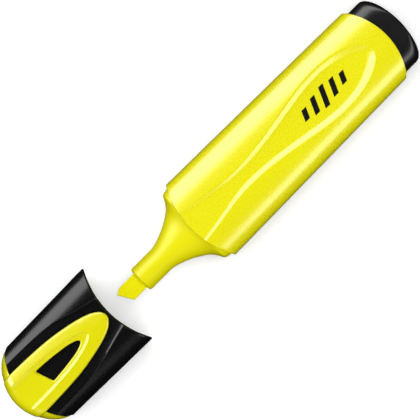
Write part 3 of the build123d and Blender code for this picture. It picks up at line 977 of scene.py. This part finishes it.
def moulded(
    name, light, dark, rough, rough_spread, grain=2200.0, bump=0.02, specular=0.5, subsurface=0.0, coat=0.0,
    glow=0.0,
):
    """Moulded plastic: faint cloudy colour, fine grain in its gloss and its surface."""
    material, coordinates = start_material(name)
    cloud = noise(material, coordinates, CLOUD_SCALE, 4.0, CLOUD_STRETCH)
    colour = blend_colours(material, cloud, (0.3, dark), (0.7, light))
    grains = noise(material, coordinates, grain, 2.0)
    gloss = add(
        material, "ShaderNodeMapRange",
        From_Min=0.3, From_Max=0.7, To_Min=rough - rough_spread, To_Max=rough + rough_spread,
    )
    link(material, grains, "Fac", gloss, "Value")
    surface = add(
        material, "ShaderNodeBsdfPrincipled",
        Specular_IOR_Level=specular, Coat_Weight=coat, Coat_Roughness=COAT_ROUGHNESS,
        Subsurface_Weight=subsurface, Subsurface_Radius=(1.0, 0.9, 0.2), Subsurface_Scale=0.0006,
    )
    if glow:
        surface.inputs["Emission Color"].default_value = (1, 1, 1, 1)
        surface.inputs["Emission Strength"].default_value = glow
    link(material, gloss, "Result", surface, "Roughness")
    return finish_material(material, surface, colour, grains, bump, GRAIN_HEIGHT)


def fibrous(name, light, dark, rough, fibre=(60, 900, 900), bump=0.5, sheen=0.2):
    """Felt or fibre bundle: long fine fibres along the pen."""
    material, coordinates = start_material(name)
    fibres = noise(material, coordinates, FIBRE_SCALE, 6.0, fibre)
    colour = blend_colours(material, fibres, (0.3, dark), (0.65, light))
    surface = add(
        material, "ShaderNodeBsdfPrincipled", Roughness=rough, Specular_IOR_Level=0.1, Sheen_Weight=sheen
    )
    return finish_material(material, surface, colour, fibres, bump, FIBRE_HEIGHT)


YELLOW = moulded(
    "yellow plastic", (0.71, 0.665, 0.001), (0.68, 0.635, 0.0006), 0.28, 0.02, bump=0.006, specular=1.0,
    coat=1.0,
)
# The barrel's yellow plastic made darker on the nose: the darkening is painted shade. It is also rougher and
# less glossy.
SHADED_YELLOW_NOSE = moulded(
    "yellow nose plastic with painted shade", (0.65, 0.605, 0.001), (0.62, 0.575, 0.0006), 0.34, 0.03, bump=0.03, specular=0.5
)
# The barrel's yellow plastic made darker on the crown and clip: the darkening is painted shade. Its gloss is
# finer than the barrel's.
SHADED_YELLOW_CAP = moulded(
    "yellow cap plastic with painted shade", (0.645, 0.605, 0.001), (0.62, 0.58, 0.0006), 0.22, 0.03, bump=0.012, specular=1.0,
    coat=1.0,
)
BLACK = moulded(
    "black plastic", (0.0026, 0.0027, 0.0030), (0.0016, 0.0017, 0.0019), 0.26, 0.02, bump=0.008, specular=0.62
)
SATIN_BLACK = moulded(
    "satin black plastic", (0.0040, 0.0041, 0.0044), (0.0028, 0.0029, 0.0031), 0.33, 0.03, bump=0.02,
    specular=0.75,
)
PRINT = moulded(
    "black print", (0.004, 0.004, 0.0045), (0.002, 0.002, 0.0025), 0.6, 0.1, bump=0.05, specular=0.12
)
WHITE = moulded("white liner plastic", (0.82, 0.82, 0.80), (0.76, 0.76, 0.74), 0.42, 0.05, subsurface=0.2)
FELT = fibrous("yellow felt", (0.67, 0.62, 0.001), (0.58, 0.54, 0.0005), 0.8, sheen=0.02)
FIBRE = fibrous("ink fibre", (0.66, 0.66, 0.04), (0.45, 0.45, 0.02), 0.85, (25, 500, 500))
FILM = moulded("clear film", (0.86, 0.87, 0.86), (0.80, 0.81, 0.80), 0.18, 0.04, coat=0.3)
FLOOR = moulded(
    "floor", (0.97, 0.97, 0.97), (0.95, 0.95, 0.95), 0.8, 0.05, grain=300.0, bump=0.02, specular=0.1,
    glow=0.12,
)


# ---- The pieces on their bodies -------------------------------------------------------------
def place(piece, body, node, slot, material):
    """Put a visible piece on its body, in place of a CAD node if one is named."""
    piece.data.materials.append(material)
    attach(piece, body)
    if node:
        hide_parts(node)


place(make_barrel(), "pen", "barrel", "yellow_body", YELLOW)
place(make_nose(), "pen", "nose_section", "yellow_body", SHADED_YELLOW_NOSE)
place(make_nib(), "pen", "nib", "nib_felt", FELT)
place(make_plug(), "pen", "rear_plug", "black_plastic", SATIN_BLACK)
place(make_mark(), "pen", None, "black_plastic", PRINT)
place(make_shell(), "cap", "cap_shell", "black_plastic", BLACK)
place(make_crown(), "cap", "cap_crown", "yellow_cap", SHADED_YELLOW_CAP)

CLIP = make_clip()
CLIP.data.materials.append(SHADED_YELLOW_CAP)
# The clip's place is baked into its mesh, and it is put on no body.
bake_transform(CLIP)
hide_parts("pocket_clip")

for node, material in (("inner_cap", WHITE), ("ink_reservoir", FIBRE), ("reservoir_wrap", FILM)):
    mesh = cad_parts[node].data
    if not mesh.materials:
        mesh.materials.append(material)
    for k in range(len(mesh.materials)):
        mesh.materials[k] = material

# ---- Floor --------------------------------------------------------------------------------
FLOOR_HALF = 1.5
FLOOR_Z = -0.00002
FLOOR_CORNERS = [(x * FLOOR_HALF, y * FLOOR_HALF, FLOOR_Z) for x, y in ((-1, -1), (1, -1), (1, 1), (-1, 1))]

floor_mesh = bpy.data.meshes.new("floor")
floor_mesh.from_pydata(FLOOR_CORNERS, [], [(0, 1, 2, 3)])
floor = bpy.data.objects.new("floor", floor_mesh)
bpy.context.scene.collection.objects.link(floor)
floor_mesh.materials.append(FLOOR)
floor.visible_glossy = False
floor.visible_diffuse = False


# ---- Light --------------------------------------------------------------------------------
AMBIENT = 0.03
AMBIENT_GLOSS = 0.01
BACKDROP = 0.9


def softbox(name, direction, distance, size, radiance, along=0.0):
    """Area light in that direction from the pen, facing it, its long side and its shift along the pen."""
    light = bpy.data.lights.new(name, "AREA")
    light.shape = "RECTANGLE"
    light.size, light.size_y = size
    light.energy = radiance * math.pi * size[0] * size[1]
    lamp = bpy.data.objects.new(name, light)
    bpy.context.scene.collection.objects.link(lamp)
    back = Vector(direction).normalized()
    side = (Vector((1, 0, 0)) - back * back.x).normalized()
    lamp.matrix_world = Matrix((side, back.cross(side), back)).transposed().to_4x4()
    lamp.location = back * distance + Vector((along, 0, 0))
    return lamp


def across(angle):
    """Direction at that angle from the vertical, towards +Y."""
    return (0, math.sin(math.radians(angle)), math.cos(math.radians(angle)))


# These make the highlights only.
for lamp in (
    softbox("upper gloss", across(50), 0.5, (1.2, 0.44), 3.2),
    softbox("lower gloss", across(-50), 0.25, (0.5, 0.1), 2.9, along=0.245),
    softbox("lower cap gloss", across(-42), 0.25, (0.3, 0.12), 0.5, along=-0.21),
    softbox("end gloss", (-0.62, 0.5, 0.6), 0.5, (0.2, 0.3), 1.6),
):
    lamp.visible_diffuse = False
# And these the shading only.
for lamp in (
    softbox("overhead fill", across(0), 0.8, (1.2, 1.0), 2.5),
    softbox("key fill", across(65), 0.7, (1.0, 0.5), 2.1),
    softbox("low fill", across(-65), 0.7, (1.0, 0.5), 1.7),
    softbox("end fill", (-0.8, 0.45, 0.4), 0.7, (0.5, 0.4), 2.0),
):
    lamp.visible_glossy = False
    lamp.data.cycles.use_multiple_importance_sampling = False

world = bpy.data.worlds.new("studio")
bpy.context.scene.world = world
world.use_nodes = True
background = world.node_tree.nodes["Background"]
background.inputs["Color"].default_value = (1, 1, 1, 1)
rays = world.node_tree.nodes.new("ShaderNodeLightPath")
level = world.node_tree.nodes.new("ShaderNodeMix")
level.inputs["A"].default_value = AMBIENT
level.inputs["B"].default_value = AMBIENT_GLOSS
world.node_tree.links.new(rays.outputs["Is Glossy Ray"], level.inputs["Factor"])
shown = world.node_tree.nodes.new("ShaderNodeMix")
shown.inputs["B"].default_value = BACKDROP
world.node_tree.links.new(level.outputs["Result"], shown.inputs["A"])
world.node_tree.links.new(rays.outputs["Is Camera Ray"], shown.inputs["Factor"])
world.node_tree.links.new(shown.outputs["Result"], background.inputs["Strength"])

# ---- Camera -------------------------------------------------------------------------------
VIEW_WIDTH = 115.4
LENS, SENSOR = 800.0, 36.0
CAMERA_X, CAMERA_Y = 0.90, 0.08
CAMERA_TURN = -45.1
camera = bpy.data.objects.new("camera", bpy.data.cameras.new("camera"))
camera.data.lens = LENS
camera.data.sensor_width = SENSOR
camera.data.clip_start = 0.01
camera.data.clip_end = 10.0
camera.location = (CAMERA_X * MM, CAMERA_Y * MM, (MIDDLE_Z + VIEW_WIDTH * LENS / SENSOR) * MM)
camera.rotation_euler = (0, 0, math.radians(CAMERA_TURN))
bpy.context.scene.collection.objects.link(camera)
bpy.context.scene.camera = camera
bpy.context.scene.view_settings.view_transform = "Standard"
